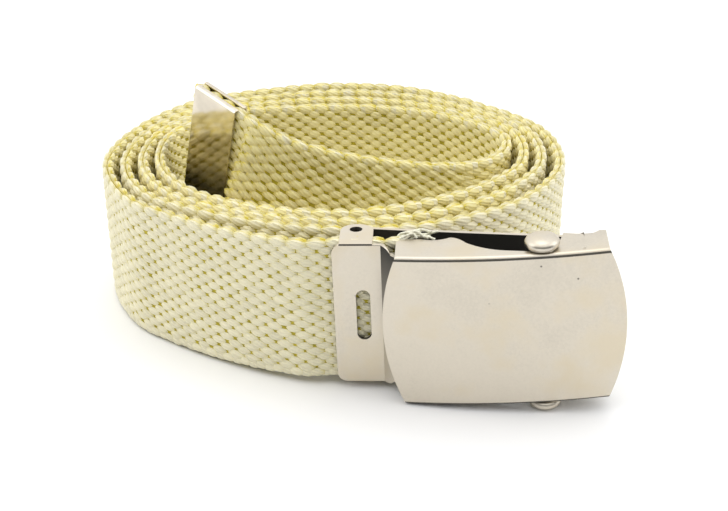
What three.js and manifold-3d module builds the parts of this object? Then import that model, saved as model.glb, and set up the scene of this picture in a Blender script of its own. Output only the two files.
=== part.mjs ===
// A cotton web belt with a roller buckle, coiled four and a half turns and standing on its edge.
// Millimetres, +Z up. The buckle faces -Y. The origin is the middle of the footprint, on the floor.

import * as THREE from 'three';
import { mergeVertices } from 'three/addons/utils/BufferGeometryUtils.js';
import Module from 'manifold-3d';

const wasm = await Module();
wasm.setup();

// Webbing
const WEB_WIDTH = 32;
const WEB_THICKNESS = 2.6;
const WEB_CHAMFER = 0.5;
const WEB_STEP = 4.5;
const CLEARANCE = 0.3;

// Buckle: all its sheet parts share one height, which is the webbing's width and its play. It lies
// tilted, its far end up, and the clamp sits a little less tilted in it than the face plate
const SHEET = 0.8;
const PLAY = 0.7;
const BUCKLE_LIFT = 2.9;
const BUCKLE_MIDDLE = WEB_WIDTH / 2 + BUCKLE_LIFT;
const INNER_HALF_HEIGHT = WEB_WIDTH / 2 + CLEARANCE;
const OUTER_HALF_HEIGHT = INNER_HALF_HEIGHT + SHEET;
const BUCKLE_TURN = THREE.MathUtils.degToRad(-3.6);
const FACE_TILT = THREE.MathUtils.degToRad(4.7);
const CLAMP_TILT = THREE.MathUtils.degToRad(2.1);
const BUCKLE_PLACE = new THREE.Vector2(34.04, -49.92);

// Face plate: its top and bottom edges are straight, its ends are arcs, and it is bowed forwards
const FACE_HALF_LENGTH = 20.4;
const FACE_END_ARC = 3.5;
const FACE_BOW = 1.4;
const FACE_BOW_RADIUS = FACE_HALF_LENGTH ** 2 / (2 * FACE_BOW);

// Clamp plate at the webbing's end of the buckle, with a narrower tab behind the face plate
const CLAMP_LEFT = -33.9;
const CLAMP_BEND = -24.2;
const CLAMP_FRONT = 5.4;
const CLAMP_NECK = -22;
const CLAMP_TAB_END = -13.5;
const CLAMP_TAB_HALF_HEIGHT = 14.8;
const CLAMP_CORNER = 2;
const CLAMP_STEP = { run: 4.2, slack: 0.9, heel: 0.5 };
const WINDOW = { centre: -28, width: 2.9, height: 11.6 };
const EAR = { left: -32.4, right: -25.8, end: 14.7, corner: 3.2, root: 0.4 };
const HINGE = { u: -29.3, v: 12.1, pin: 1, proud: 0.3, hole: 1.3, knuckle: 2.1 };

// Back plate behind the webbing: where its sheet bends and ends, and its cam's four corners, each
// from the hinge's line or from the webbing
const BACK_BEND = { u: -18.5, v: 12.2 };
const BACK_END = { u: 14, v: 9.3 };
const CAM = { nose: 1.4, toe: 2.6, drop: 1, width: 1.9, lean: 0.4 };

// Webbing inside the clamp: its middle's depth, its end, and where it lies flat on the way there
const WEB_DEPTH = CLAMP_FRONT + SHEET + CLEARANCE + WEB_THICKNESS / 2;
const WEB_END = -21.5;
const WEB_REST = [CLAMP_LEFT, CLAMP_LEFT + 3, CLAMP_LEFT + 8, WEB_END];

// Roller bar with a domed head at each end
const ROLLER = { u: 7.8, v: 2.2, half: 19.6, radius: 2.1, head: 3.4, dome: 0.9, pocket: 2.8 };

// The dome of a roller's head: the share of its radius, and how far it has dropped by there
const DOME_ROWS = [
  { share: 0, drop: 0 },
  { share: 0.55, drop: 0.2 },
  { share: 0.9, drop: 1 },
  { share: 1, drop: 1.5 },
];

// The flange's rear edge on each side of the roller's pocket: the next place, and the bend on the
// way there where that stretch is curved
const FLANGE_TO_POCKET = [
  { u: -15.5, v: 7.2 },
  { u: -9.8, v: 7.4, bend: { u: -12.5, v: 5.9 } },
  { u: -6.8, v: 5, bend: { u: -8.2, v: 7.2 } },
  { u: 0.8, v: 1.2, bend: { u: -3.4, v: 1.9 } },
  { u: 4.6, v: 0.6 },
];
const FLANGE_FROM_POCKET = [
  { u: 12.2, v: 7.4 },
  { u: 18, v: 6.9, bend: { u: 15.5, v: 6.3 } },
  { u: 19.2, v: 7.9 },
  { u: FACE_HALF_LENGTH, v: 7.9 },
];
const FLANGE_START = 7.4;
const POCKET_SWEEP = { from: Math.PI * 1.2, to: Math.PI * 1.93 };

// Further than any part of the buckle, for cuts, and the least amount that a cut runs over
const REACH = 40;
const HAIR = 0.01;

// Tip
const TIP_LENGTH = 13;
const TIP_WALL = 0.5;
const TIP_CORNER = 1.5;

// One turn of the coil, about its middle: the inner radius of the winding at each angle, seen from
// above, and how much further out each later turn lies there
const COIL_ROWS = [
  { angle: 0, radius: 37.3, pitch: 4.5 },
  { angle: 22.5, radius: 42.1, pitch: 3.3 },
  { angle: 45, radius: 37.8, pitch: 3.6 },
  { angle: 67.5, radius: 34.1, pitch: 4.5 },
  { angle: 90, radius: 32.2, pitch: 4.8 },
  { angle: 112.5, radius: 33.7, pitch: 4.2 },
  { angle: 135, radius: 39.9, pitch: 3.1 },
  { angle: 157.5, radius: 40.9, pitch: 3 },
  { angle: 180, radius: 37.4, pitch: 4 },
  { angle: 202.5, radius: 31.9, pitch: 4.3 },
  { angle: 225, radius: 26.7, pitch: 3.3 },
  { angle: 247.5, radius: 23.2, pitch: 3.25 },
  { angle: 270, radius: 21.6, pitch: 3.7 },
  { angle: 292.5, radius: 21.7, pitch: 4.3 },
  { angle: 315, radius: 23, pitch: 5.3 },
  { angle: 337.5, radius: 27.9, pitch: 5.8 },
];
const COIL_START = 22.5;
const COIL_END = 1282.5;

// The inner end, from the tip's mouth to the coil: the place of the upper edge, and its lift
const INNER_RUN = [
  { x: -9, y: -2.9, lift: 6.6 },
  { x: -1.5, y: -3.3, lift: 4.3 },
  { x: 7, y: -3.3, lift: 2.6 },
  { x: 15.5, y: -2.9, lift: 1.3 },
  { x: 23.5, y: -2.3, lift: 0.5 },
  { x: 30, y: -0.9, lift: 0.1 },
  { x: 35.3, y: 2.4, lift: 0 },
  { x: 39.3, y: 8.6, lift: 0 },
];

// The tip: the place of the upper edge at its mouth, and the way from there to its end
const TIP_MOUTH = new THREE.Vector3(-20.9, 2, WEB_WIDTH + 11.4);
const TIP_DIRECTION = new THREE.Vector3(-0.74, 0.63, 0.23).normalize();
const TIP_STRAIGHT = 5;

// The outer end, from the coil to the clamp
const OUTER_RUN = [
  { x: -37.1, y: -23.7, lift: 0.1 },
  { x: -30.7, y: -28.1, lift: 0.3 },
  { x: -24, y: -32.1, lift: 0.5 },
  { x: -17.5, y: -35.5, lift: 0.8 },
  { x: -10.8, y: -38.3, lift: 1.1 },
  { x: -5.2, y: -40, lift: 1.4 },
];

const FINISHES = {
  cotton: { color: 0xe3dcb0, roughness: 0.95, metalness: 0 },
  nickel: { color: 0xcfc8bb, roughness: 0.35, metalness: 1 },
};

const toMesh = (name, geometry, finish) => {
  const mesh = new THREE.Mesh(geometry, new THREE.MeshStandardMaterial(FINISHES[finish]));
  mesh.name = name;
  return mesh;
};

// Booleans
const solid = (geometry) => {
  const bare = geometry.clone();
  bare.deleteAttribute('normal');
  bare.deleteAttribute('uv');
  const merged = mergeVertices(bare, 1e-4);
  const vertProperties = new Float32Array(merged.attributes.position.array);
  const triVerts = new Uint32Array(merged.index.array);
  return new wasm.Manifold(new wasm.Mesh({ numProp: 3, vertProperties, triVerts }));
};

const geometryOf = (manifold) => {
  const { vertProperties, triVerts, numProp } = manifold.getMesh();
  if (numProp !== 3) throw new Error('positions only');
  const geometry = new THREE.BufferGeometry();
  geometry.setAttribute('position', new THREE.BufferAttribute(new Float32Array(vertProperties), 3));
  geometry.setIndex(new THREE.BufferAttribute(new Uint32Array(triVerts), 1));
  return geometry;
};

// An outline in the buckle's plan, u along the buckle and v towards its back, raised from low to high
const standing = (shape, low, high, curveSegments = 8) => {
  const options = { depth: high - low, bevelEnabled: false, curveSegments };
  return solid(new THREE.ExtrudeGeometry(shape, options).translate(0, 0, low));
};

// An outline seen from the buckle's front, u along the buckle and z up, run from front to back
const facing = (shape, front, back, curveSegments = 6) => {
  const options = { depth: back - front, bevelEnabled: false, curveSegments };
  const geometry = new THREE.ExtrudeGeometry(shape, options);
  return solid(geometry.rotateX(Math.PI / 2).translate(0, back, 0));
};

const polygon = (points) => new THREE.Shape(points.map(([x, y]) => new THREE.Vector2(x, y)));

const roundedRectangle = (left, bottom, right, top, corner) => {
  const shape = new THREE.Shape();
  shape.moveTo(left + corner, bottom);
  shape.lineTo(right - corner, bottom);
  shape.absarc(right - corner, bottom + corner, corner, -Math.PI / 2, 0);
  shape.lineTo(right, top - corner);
  shape.absarc(right - corner, top - corner, corner, 0, Math.PI / 2);
  shape.lineTo(left + corner, top);
  shape.absarc(left + corner, top - corner, corner, Math.PI / 2, Math.PI);
  shape.lineTo(left, bottom + corner);
  shape.absarc(left + corner, bottom + corner, corner, Math.PI, Math.PI * 1.5);
  return shape;
};

const disc = (u, v, radius) => {
  const shape = new THREE.Shape();
  shape.absarc(u, v, radius, 0, Math.PI * 2);
  return shape;
};

// A frame in the buckle: u along it, v towards its back, z from its middle height
const buckleFrame = (tilt) =>
  new THREE.Matrix4()
    .makeRotationZ(BUCKLE_TURN)
    .multiply(new THREE.Matrix4().makeRotationY(-tilt))
    .setPosition(BUCKLE_PLACE.x, BUCKLE_PLACE.y, BUCKLE_MIDDLE);

const faceFrame = buckleFrame(FACE_TILT);
const clampFrame = buckleFrame(CLAMP_TILT);

const placed = (mesh, frame) => {
  mesh.applyMatrix4(frame);
  return mesh;
};

// Webbing
const coilPoints = () => {
  const points = [];
  for (let turn = 0; turn <= COIL_END / 360; turn += 1) {
    for (const { angle, radius, pitch } of COIL_ROWS) {
      const turned = angle + 360 * turn;
      if (turned < COIL_START || turned > COIL_END) continue;
      const reach = radius + (pitch * turned) / 360;
      const place = THREE.MathUtils.degToRad(angle);
      points.push(new THREE.Vector3(reach * Math.cos(place), reach * Math.sin(place), WEB_WIDTH));
    }
  }
  return points;
};

const runPoints = (rows) => rows.map(({ x, y, lift }) => new THREE.Vector3(x, y, WEB_WIDTH + lift));

const clampPoints = () =>
  WEB_REST.map((u) => new THREE.Vector3(u, WEB_DEPTH, WEB_WIDTH / 2).applyMatrix4(clampFrame));

// The webbing is straight inside the tip and just before it
const tipPoints = () => {
  const end = TIP_LENGTH - TIP_WALL - CLEARANCE;
  return [end, end / 2, 0, -TIP_STRAIGHT / 2, -TIP_STRAIGHT].map((along) =>
    TIP_MOUTH.clone().addScaledVector(TIP_DIRECTION, along));
};

const upperEdge = new THREE.CatmullRomCurve3(
  [
    ...tipPoints(),
    ...runPoints(INNER_RUN),
    ...coilPoints(),
    ...runPoints(OUTER_RUN),
    ...clampPoints(),
  ],
  false,
  'centripetal',
);
upperEdge.arcLengthDivisions = 3000;

// The directions across the webbing: its thickness is level, and its width leans as its edge climbs
const acrossWebbing = (along) => {
  const level = new THREE.Vector3(-along.y, along.x, 0).normalize();
  const down = new THREE.Vector3().crossVectors(level, along).normalize();
  return { level, down: down.z > 0 ? down.negate() : down };
};

const webbingSection = () => {
  const half = WEB_THICKNESS / 2;
  const side = half - WEB_CHAMFER;
  const deep = WEB_WIDTH - WEB_CHAMFER;
  return [
    [side, 0],
    [half, WEB_CHAMFER],
    [half, deep],
    [side, WEB_WIDTH],
    [-side, WEB_WIDTH],
    [-half, deep],
    [-half, WEB_CHAMFER],
    [-side, 0],
  ];
};

const loft = (rings) => {
  const size = rings[0].length;
  const last = (rings.length - 1) * size;
  const index = [];
  for (let ring = 0; ring < rings.length - 1; ring += 1) {
    for (let corner = 0; corner < size; corner += 1) {
      const a = ring * size + corner;
      const b = ring * size + ((corner + 1) % size);
      index.push(a, a + size, b, b, a + size, b + size);
    }
  }
  for (let corner = 1; corner < size - 1; corner += 1) {
    index.push(0, corner, corner + 1);
    index.push(last, last + corner + 1, last + corner);
  }
  const geometry = new THREE.BufferGeometry();
  geometry.setAttribute('position', new THREE.Float32BufferAttribute(rings.flat(2), 3));
  geometry.setIndex(index);
  return geometry;
};

const makeWebbing = () => {
  const steps = Math.round(upperEdge.getLength() / WEB_STEP);
  const section = webbingSection();
  const rings = [];
  for (let step = 0; step <= steps; step += 1) {
    const place = upperEdge.getPointAt(step / steps);
    place.z = Math.max(place.z, WEB_WIDTH);
    const { level, down } = acrossWebbing(upperEdge.getTangentAt(step / steps));
    rings.push(section.map(([out, depth]) =>
      place.clone().addScaledVector(level, out).addScaledVector(down, depth).toArray()));
  }
  return toMesh('webbing', loft(rings), 'cotton');
};

// The tip is a folded metal cap over the inner end
const makeTip = () => {
  const room = { thickness: WEB_THICKNESS + 2 * CLEARANCE, width: WEB_WIDTH + 2 * CLEARANCE };
  const thickness = room.thickness + 2 * TIP_WALL;
  const width = room.width + 2 * TIP_WALL;
  const outline = roundedRectangle(0, -width / 2, TIP_LENGTH, width / 2, TIP_CORNER);
  const body = facing(outline, -thickness / 2, thickness / 2);
  const hollow = new THREE.BoxGeometry(TIP_LENGTH * 2, room.thickness, room.width);
  const cap = body.subtract(solid(hollow.translate(-TIP_WALL, 0, 0)));
  const { down } = acrossWebbing(TIP_DIRECTION);
  const up = down.clone().negate();
  const across = new THREE.Vector3().crossVectors(up, TIP_DIRECTION);
  const place = TIP_MOUTH.clone().addScaledVector(down, WEB_WIDTH / 2);
  const mesh = toMesh('belt_tip', geometryOf(cap), 'nickel');
  mesh.applyMatrix4(new THREE.Matrix4().makeBasis(TIP_DIRECTION, across, up).setPosition(place));
  return mesh;
};

// Face plate with a flange along its top and its bottom
const faceFront = (u) => u ** 2 / (2 * FACE_BOW_RADIUS) - FACE_BOW;

const faceOutline = () => {
  const arcRadius = (OUTER_HALF_HEIGHT ** 2 + FACE_END_ARC ** 2) / (2 * FACE_END_ARC);
  const arcCentre = FACE_HALF_LENGTH + FACE_END_ARC - arcRadius;
  const sweep = Math.asin(OUTER_HALF_HEIGHT / arcRadius);
  const shape = new THREE.Shape();
  shape.absarc(arcCentre, 0, arcRadius, -sweep, sweep);
  shape.absarc(-arcCentre, 0, arcRadius, Math.PI - sweep, Math.PI + sweep);
  return shape;
};

const bowedSheet = () => {
  const end = FACE_HALF_LENGTH + FACE_END_ARC + 1;
  const steps = 16;
  const line = Array.from({ length: steps + 1 }, (_, step) => -end + (2 * end * step) / steps);
  const front = line.map((u) => [u, faceFront(u)]);
  const back = line.map((u) => [u, faceFront(u) + SHEET]).reverse();
  return standing(polygon([...front, ...back]), -OUTER_HALF_HEIGHT, OUTER_HALF_HEIGHT);
};

// The flange's rear edge, from the webbing's end: a full part, the ramp that the roller rides,
// its pocket, and the part beyond it
const flangeOutline = () => {
  const shape = new THREE.Shape();
  const follow = ({ u, v, bend }) => {
    if (bend) shape.quadraticCurveTo(bend.u, bend.v, u, v);
    else shape.lineTo(u, v);
  };
  shape.moveTo(-FACE_HALF_LENGTH, FLANGE_START);
  FLANGE_TO_POCKET.forEach(follow);
  shape.absarc(ROLLER.u, ROLLER.v, ROLLER.pocket, POCKET_SWEEP.from, POCKET_SWEEP.to);
  FLANGE_FROM_POCKET.forEach(follow);
  const steps = 8;
  for (let step = 0; step <= steps; step += 1) {
    const u = FACE_HALF_LENGTH * (1 - (2 * step) / steps);
    shape.lineTo(u, faceFront(u) + SHEET / 4);
  }
  return shape;
};

const makeFace = () => {
  const plate = bowedSheet().intersect(facing(faceOutline(), -REACH, REACH));
  const upper = standing(flangeOutline(), INNER_HALF_HEIGHT, OUTER_HALF_HEIGHT);
  const lower = standing(flangeOutline(), -OUTER_HALF_HEIGHT, -INNER_HALF_HEIGHT);
  return placed(toMesh('buckle_face', geometryOf(plate.add(upper).add(lower)), 'nickel'), faceFrame);
};

// Clamp plate: flat over the webbing, then stepped forwards to lie behind the face plate
const clampProfile = () => {
  const tabFront = faceFront(CLAMP_TAB_END) + SHEET + CLEARANCE;
  const { run, slack, heel } = CLAMP_STEP;
  return polygon([
    [CLAMP_LEFT, CLAMP_FRONT],
    [CLAMP_BEND, CLAMP_FRONT],
    [CLAMP_BEND + run, tabFront + slack],
    [CLAMP_TAB_END, tabFront],
    [CLAMP_TAB_END, tabFront + SHEET],
    [CLAMP_BEND + run + heel, tabFront + SHEET + slack],
    [CLAMP_BEND + heel, CLAMP_FRONT + SHEET],
    [CLAMP_LEFT, CLAMP_FRONT + SHEET],
  ]);
};

const makeClamp = () => {
  const half = WEB_WIDTH / 2;
  const plate = roundedRectangle(CLAMP_LEFT, -half, CLAMP_NECK, half, CLAMP_CORNER);
  const tab = roundedRectangle(
    EAR.left, -CLAMP_TAB_HALF_HEIGHT, CLAMP_TAB_END, CLAMP_TAB_HALF_HEIGHT, CLAMP_CORNER);
  const window = roundedRectangle(
    WINDOW.centre - WINDOW.width / 2,
    -WINDOW.height / 2,
    WINDOW.centre + WINDOW.width / 2,
    WINDOW.height / 2,
    WINDOW.width / 2 - HAIR,
  );
  const root = roundedRectangle(
    EAR.left, -OUTER_HALF_HEIGHT, EAR.right, OUTER_HALF_HEIGHT, EAR.root);
  const sheet = standing(clampProfile(), -half, half)
    .intersect(facing(plate, -REACH, REACH).add(facing(tab, -REACH, REACH)))
    .add(facing(root, CLAMP_FRONT, CLAMP_FRONT + SHEET))
    .subtract(facing(window, -REACH, REACH));
  const ear = roundedRectangle(EAR.left, CLAMP_FRONT - EAR.corner, EAR.right, EAR.end, EAR.corner);
  const cutBack = CLAMP_FRONT + HAIR;
  const earCut = polygon([[-REACH, -REACH], [REACH, -REACH], [REACH, cutBack], [-REACH, cutBack]]);
  const hole = disc(HINGE.u, HINGE.v, HINGE.hole);
  const ears = [
    standing(ear, INNER_HALF_HEIGHT, OUTER_HALF_HEIGHT),
    standing(ear, -OUTER_HALF_HEIGHT, -INNER_HALF_HEIGHT),
  ].map((flap) =>
    flap.subtract(standing(earCut, -REACH, REACH)).subtract(standing(hole, -REACH, REACH)));
  const clamp = sheet.add(ears[0]).add(ears[1]);
  return placed(toMesh('clamp_plate', geometryOf(clamp), 'nickel'), clampFrame);
};

// Back plate: a sheet with a knuckle round the hinge pin, and a cam that grips the webbing
const makeBackPlate = () => {
  const half = INNER_HALF_HEIGHT - PLAY;
  const gripFront = WEB_DEPTH + WEB_THICKNESS / 2 + CLEARANCE;
  const sheet = polygon([
    [HINGE.u, HINGE.v + HINGE.knuckle - SHEET],
    [BACK_BEND.u, BACK_BEND.v],
    [BACK_END.u, BACK_END.v],
    [BACK_END.u, BACK_END.v + SHEET],
    [BACK_BEND.u, BACK_BEND.v + SHEET],
    [HINGE.u, HINGE.v + HINGE.knuckle],
  ]);
  const cam = polygon([
    [HINGE.u + CAM.nose, gripFront],
    [HINGE.u + CAM.toe, gripFront + CAM.drop],
    [HINGE.u + CAM.width, HINGE.v + CAM.lean],
    [HINGE.u - CAM.width, HINGE.v - CAM.lean],
  ]);
  const plate = standing(disc(HINGE.u, HINGE.v, HINGE.knuckle), -half, half, 12)
    .add(standing(sheet, -half, half))
    .add(standing(cam, -half, half))
    .subtract(standing(disc(HINGE.u, HINGE.v, HINGE.hole), -REACH, REACH, 12));
  return placed(toMesh('back_plate', geometryOf(plate), 'nickel'), clampFrame);
};

const makeHingePin = () => {
  const length = 2 * (OUTER_HALF_HEIGHT + HINGE.proud);
  const geometry = new THREE.CylinderGeometry(HINGE.pin, HINGE.pin, length, 16);
  geometry.rotateX(Math.PI / 2).translate(HINGE.u, HINGE.v, 0);
  return placed(toMesh('hinge_pin', geometry, 'nickel'), clampFrame);
};

// Roller bar: its heads keep it in the flanges' pockets, and the lower head stands on the floor
const makeRoller = () => {
  const inner = OUTER_HALF_HEIGHT + CLEARANCE;
  const half = [
    ...DOME_ROWS.map(({ share, drop }) => [ROLLER.head * share, ROLLER.half - ROLLER.dome * drop]),
    [ROLLER.head, inner],
    [ROLLER.radius, inner],
  ];
  const mirrored = half.map(([radius, z]) => [radius, -z]).reverse();
  const profile = [...half, ...mirrored].reverse().map(([radius, z]) => new THREE.Vector2(radius, z));
  const geometry = new THREE.LatheGeometry(profile, 20);
  geometry.rotateX(Math.PI / 2).translate(ROLLER.u, ROLLER.v, 0);
  return placed(toMesh('roller_bar', geometry, 'nickel'), faceFrame);
};

const belt = new THREE.Group();
belt.add(makeWebbing());
belt.add(makeTip());
belt.add(makeFace());
belt.add(makeClamp());
belt.add(makeBackPlate());
belt.add(makeHingePin());
belt.add(makeRoller());

// The origin goes to the middle of the footprint
const box = new THREE.Box3().setFromObject(belt, true);
const middle = box.getCenter(new THREE.Vector3());
belt.position.set(-middle.x, -middle.y, -box.min.z);
belt.updateMatrixWorld(true);

export default belt;
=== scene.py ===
"""A coiled cotton web belt with a roller buckle: webbing, tip, buckle and studio, in metres."""

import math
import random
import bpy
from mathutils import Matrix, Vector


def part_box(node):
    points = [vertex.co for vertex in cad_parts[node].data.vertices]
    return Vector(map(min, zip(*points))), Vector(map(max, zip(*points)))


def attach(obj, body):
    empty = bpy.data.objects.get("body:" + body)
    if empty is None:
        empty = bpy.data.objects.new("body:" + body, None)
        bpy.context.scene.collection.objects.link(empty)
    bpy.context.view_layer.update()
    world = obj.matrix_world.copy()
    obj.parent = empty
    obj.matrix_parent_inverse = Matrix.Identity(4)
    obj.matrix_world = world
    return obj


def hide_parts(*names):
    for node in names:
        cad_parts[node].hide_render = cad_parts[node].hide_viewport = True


bl_info = {
    "name": "Web Belt",
    "version": (1, 0, 0),
    "blender": (4, 5, 0),
    "location": "3D View > Sidebar > Belt",
    "description": "Builds a coiled web belt with a roller buckle round its packed model",
    "category": "Add Mesh",
}

import bmesh
import bpy
from mathutils import Matrix, Vector

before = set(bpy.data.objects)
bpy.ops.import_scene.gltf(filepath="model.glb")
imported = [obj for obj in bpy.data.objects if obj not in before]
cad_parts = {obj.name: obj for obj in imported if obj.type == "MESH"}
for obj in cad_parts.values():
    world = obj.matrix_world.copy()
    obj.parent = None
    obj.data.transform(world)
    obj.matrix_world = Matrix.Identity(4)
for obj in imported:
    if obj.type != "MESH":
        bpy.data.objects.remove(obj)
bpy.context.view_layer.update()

MM = 0.001

# Webbing
WEB_WIDTH = 32 * MM
WEB_THICKNESS = 2.6 * MM
CLEARANCE = 0.3 * MM
SLIVER = 0.05 * MM

# Buckle: its sheet's thickness, its middle's place from the coil's, and the tilts of its two halves
SHEET = 0.8 * MM
INNER_HALF_HEIGHT = WEB_WIDTH / 2 + CLEARANCE
OUTER_HALF_HEIGHT = INNER_HALF_HEIGHT + SHEET
BUCKLE_PLACE = Vector((34.04, -49.92, 18.9)) * MM
BUCKLE_TURN = math.radians(-3.6)
FACE_TILT = math.radians(4.7)
CLAMP_TILT = math.radians(2.1)

FACE_HALF_LENGTH = 20.4 * MM
FACE_END_ARC = 3.5 * MM
FACE_BOW = 1.4 * MM
FACE_FOLD = 0.85 * MM

CLAMP_LEFT = -33.9 * MM
CLAMP_FRONT = 5.4 * MM
WEB_DEPTH = CLAMP_FRONT + SHEET + CLEARANCE + WEB_THICKNESS / 2
WEB_END = -21.5 * MM
WEB_REST = (CLAMP_LEFT, CLAMP_LEFT + 3 * MM, CLAMP_LEFT + 8 * MM, WEB_END)

STEP = {"start": -25 * MM, "end": -21 * MM, "fade": 28 * MM}
WINDOW = {"u": -28 * MM, "half": 1.7 * MM, "high": 12.2 * MM}
EAR_LINE = WEB_WIDTH / 2 - 0.1 * MM
EAR_DROP = 0.55 * MM
EAR_SHARE = 0.86
HINGE = {"u": -29.3 * MM, "v": CLAMP_FRONT + 6.7 * MM * EAR_SHARE, "pin": 1 * MM,
         "recess": 3 * MM}
ROLLER = {"u": 7.8 * MM, "v": 2.2 * MM, "half": 19.6 * MM, "radius": 2.1 * MM, "head": 3.4 * MM,
          "pocket": 2.8 * MM}

TIP_LENGTH = 13 * MM
TIP_WALL = 0.5 * MM
TIP_LIP = 1.1 * MM
TIP_STRAIGHT = 5 * MM
TIP_MOUTH = Vector((-20.9, 2, 43.4)) * MM
TIP_DIRECTION = Vector((-0.74, 0.63, 0.23)).normalized()

# One turn of the coil about its middle, a row for each of its even steps: the winding's inner
# radius there, and how much further out each later turn lies, in millimetres
COIL_ROWS = (
    {"radius": 37.3, "pitch": 4.5},
    {"radius": 42.1, "pitch": 3.3},
    {"radius": 37.8, "pitch": 3.6},
    {"radius": 34.1, "pitch": 4.5},
    {"radius": 32.2, "pitch": 4.8},
    {"radius": 33.7, "pitch": 4.2},
    {"radius": 39.9, "pitch": 3.1},
    {"radius": 40.9, "pitch": 3},
    {"radius": 37.4, "pitch": 4},
    {"radius": 31.9, "pitch": 4.3},
    {"radius": 26.7, "pitch": 3.3},
    {"radius": 23.2, "pitch": 3.25},
    {"radius": 21.6, "pitch": 3.7},
    {"radius": 21.7, "pitch": 4.3},
    {"radius": 23, "pitch": 5.3},
    {"radius": 27.9, "pitch": 5.8},
)
COIL_FIRST = 1
COIL_LAST = 57

# How far the strap's inner end runs before it joins the coil, in steps of a millimetre
LOOSE_STRIP = 66

# The ends of the strap: the place of its upper edge, and its lift over the floor, in millimetres
INNER_RUN = (
    {"x": -9, "y": -2.9, "lift": 6.6},
    {"x": -1.5, "y": -3.3, "lift": 4.3},
    {"x": 7, "y": -3.3, "lift": 2.6},
    {"x": 15.5, "y": -2.9, "lift": 1.3},
    {"x": 23.5, "y": -2.3, "lift": 0.5},
    {"x": 30, "y": -0.9, "lift": 0.1},
    {"x": 35.3, "y": 2.4, "lift": 0},
    {"x": 39.3, "y": 8.6, "lift": 0},
)
OUTER_RUN = (
    {"x": -37.1, "y": -23.7, "lift": 0.1},
    {"x": -30.7, "y": -28.1, "lift": 0.3},
    {"x": -24, "y": -32.1, "lift": 0.5},
    {"x": -17.5, "y": -35.5, "lift": 0.8},
    {"x": -10.8, "y": -38.3, "lift": 1.1},
    {"x": -5.2, "y": -40, "lift": 1.4},
)

# The flange's rear edge, u along the buckle and v towards its back, in millimetres
FLANGE_TO_POCKET = (
    {"u": -15.5, "v": 7.2},
    {"u": -9.8, "v": 7.4, "bend": (-12.5, 5.9)},
    {"u": -6.8, "v": 5, "bend": (-8.2, 7.2)},
    {"u": 0.8, "v": 1.2, "bend": (-3.4, 1.9)},
    {"u": 4.6, "v": 0.6},
)
FLANGE_FROM_POCKET = (
    {"u": 12.2, "v": 7.4},
    {"u": 18, "v": 6.9, "bend": (15.5, 6.3)},
    {"u": 19.2, "v": 7.9},
    {"u": 20.4, "v": 7.9},
)
FLANGE_START = {"u": -20.4, "v": 7.4}
POCKET_SWEEP = (math.pi * 1.2, math.pi * 1.93)
FACE_STEPS = {"along": 80, "flange": 5, "fold": 6, "across": 24, "pocket": 12}

# Camera, from the photograph's vertical lines and the webbing's width
SENSOR = 36.0
IMAGE_WIDTH = 728
FOCAL_PIXELS = 1281
CAMERA_DROP = math.radians(28.96)
CAMERA_PLACE = Vector((6.5, -263, 153.5)) * MM


# Sizes and colours that a user would change


def length(name, text, default):
    return bpy.props.FloatProperty(
        name=name, description=text, default=default, min=0, precision=5, unit="LENGTH")


def colour(name, text, default):
    return bpy.props.FloatVectorProperty(
        name=name, description=text, default=default, size=3, min=0, max=1, subtype="COLOR")


class WebbingSettings(bpy.types.PropertyGroup):
    pitch: length("Pick spacing", "Distance along the strap from one pair of yarns to the next",
                  3.9 * MM)
    rows: bpy.props.IntProperty(
        name="Ribs", description="Rows of yarn pairs across one face", default=12, min=1)
    outer_length: length("Outer yarn length", "Length of one raised stretch on the outer face",
                         4.8 * MM)
    inner_length: length("Inner yarn length", "Length of one raised stretch on the inner face",
                         4.3 * MM)
    edge_length: length("Edge yarn length", "Length of one raised stretch on an edge", 4.6 * MM)
    yarn_width: length("Yarn width", "Width of one raised stretch of yarn", 2.25 * MM)
    yarn_height: length("Yarn height", "Thickness of one raised stretch of yarn", 1.15 * MM)
    yarn_colour: colour("Yarn", "Colour of the cotton yarn", (0.87, 0.815, 0.585))
    # Painted shade: the colour laid on the yarns' sides and ends, for the shade and bounced light
    # between them.
    shadow_colour: colour("Yarn sides", "Colour of the yarn's sides and ends", (0.8, 0.71, 0.3))
    # Painted bounce light: the inside yarns are a yellower copy of the yarn, for the light bounced
    # between the coil's turns.
    inside_colour: colour("Inside yarn", "Colour of the unfaded yarn inside the coil",
                          (0.93, 0.84, 0.46))
    inside_shadow: colour("Inside yarn sides", "Colour of the unfaded yarn's sides and ends",
                          (0.8, 0.67, 0.12))
    # Painted shade: the ground's colour is far darker than the yarn's, for the shade deep between
    # the raised yarns.
    ground_shade_colour: colour("Ground", "Colour deep between the yarns", (0.48, 0.4, 0.05))
    thread_colour: colour("Threads", "Colour of the frayed threads", (0.95, 0.9, 0.68))
    threads: bpy.props.IntProperty(
        name="Threads", description="Frayed threads at the strap's cut end", default=9, min=0)
    thread_radius: length("Thread radius", "Radius of a frayed thread", 0.25 * MM)
    seed: bpy.props.IntProperty(name="Seed", description="Seed of the uneven yarns", default=7)


class BuckleSettings(bpy.types.PropertyGroup):
    nickel_colour: colour("Nickel", "Colour of the satin nickel", (0.65, 0.597, 0.503))
    tip_colour: colour("Tip", "Colour of the polished tip", (0.7, 0.637, 0.53))
    roughness: bpy.props.FloatProperty(
        name="Roughness", description="Roughness of the satin nickel", default=0.34, min=0, max=1)
    edge_round: length("Edge rounding", "Radius worn on the sheet's edges", 0.12 * MM)


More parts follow.
